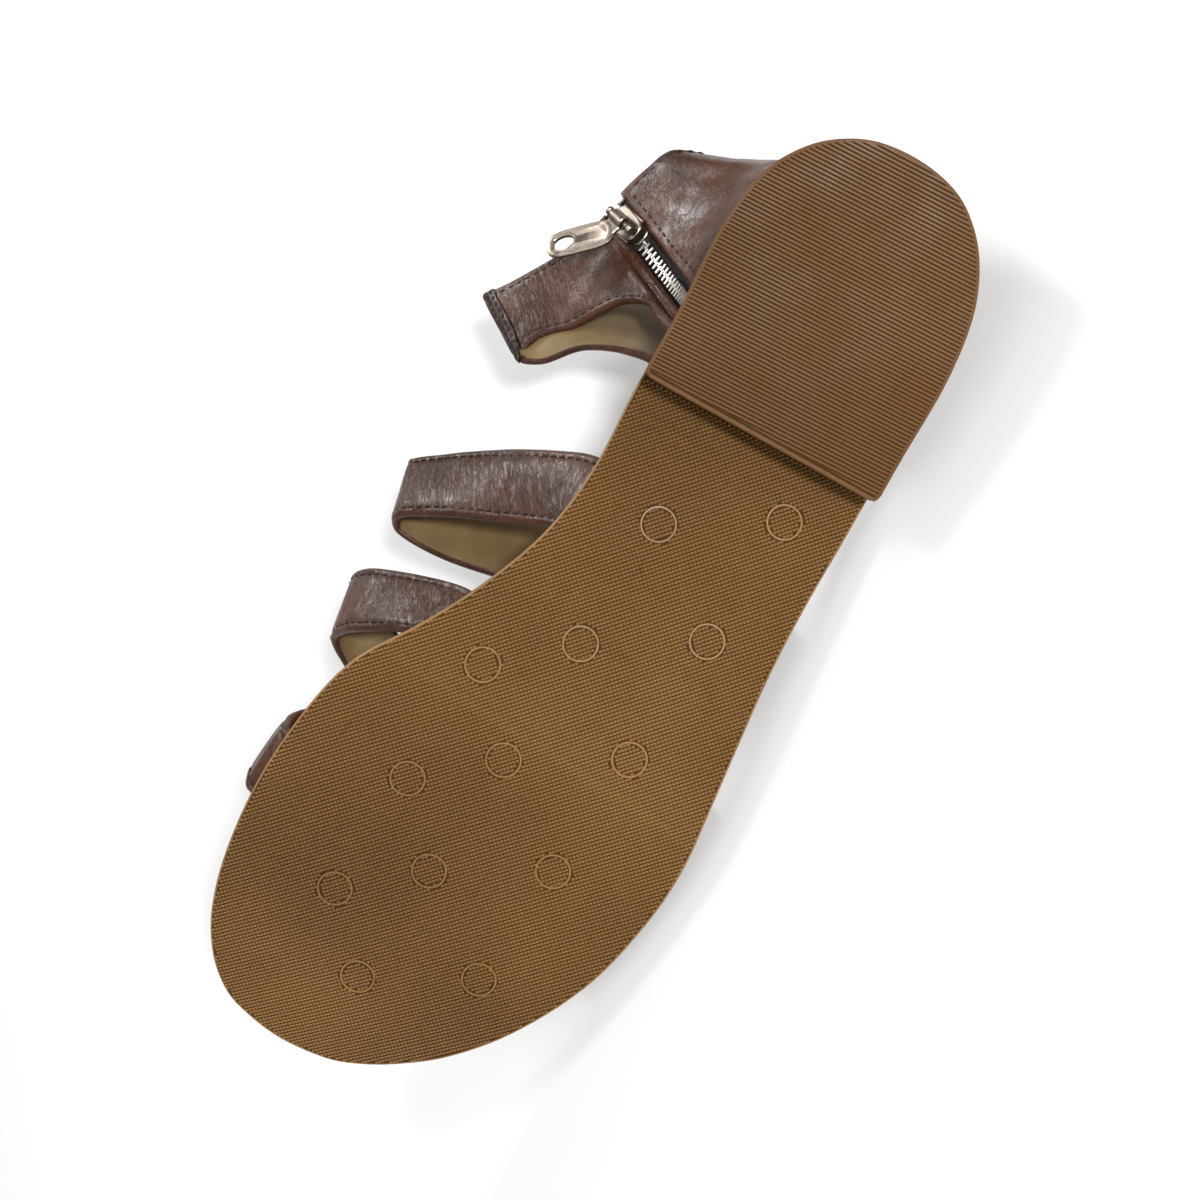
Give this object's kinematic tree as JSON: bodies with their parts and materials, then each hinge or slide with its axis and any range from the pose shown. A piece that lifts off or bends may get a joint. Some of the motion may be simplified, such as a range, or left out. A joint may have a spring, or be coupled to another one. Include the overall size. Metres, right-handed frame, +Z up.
{
  "type": "flat leather sandal",
  "caption": "Right-foot flat leather sandal lying on its lateral side: crossing forefoot straps, instep strap, closed heel, ankle strap with a medial zip, ribbed low heel.",
  "frame": {"origin": "on the floor under the middle of the bounding box of the sandal as it lies", "axes": "+X along the sandal to the toe, +Z up from the floor, +Y to the side the sole faces"},
  "size_m": [0.2512, 0.1382, 0.0728],
  "materials": {
    "rubber_tan": "matte",
    "lift_tan": "matte",
    "leather_platform": "semi-gloss",
    "insole_tan": "matte",
    "leather_brown": "semi-gloss",
    "tape_dark": "matte",
    "metal_nickel": "satin"
  },
  "bodies": {
    "sandal": {"outsole": "rubber_tan", "top_lift": "lift_tan", "heel_block": "leather_platform", "midsole": "leather_platform", "insole": "insole_tan", "cuff": "leather_brown", "strap_instep": "leather_brown", "strap_forefoot": "leather_brown", "zip_tape": "tape_dark", "zip_chain": "metal_nickel", "zip_slider": "metal_nickel"},
    "pull_tab": {"zip_pull": "metal_nickel"}
  },
  "joints": [
    {"name": "pull_swing", "type": "hinge", "parent": "sandal", "child": "pull_tab", "pos_m": [-0.0815, -0.03727, 0.0382], "axis": [-0.1247, -0.9891, 0.0781], "range_deg": [-6, 120]}
  ]
}
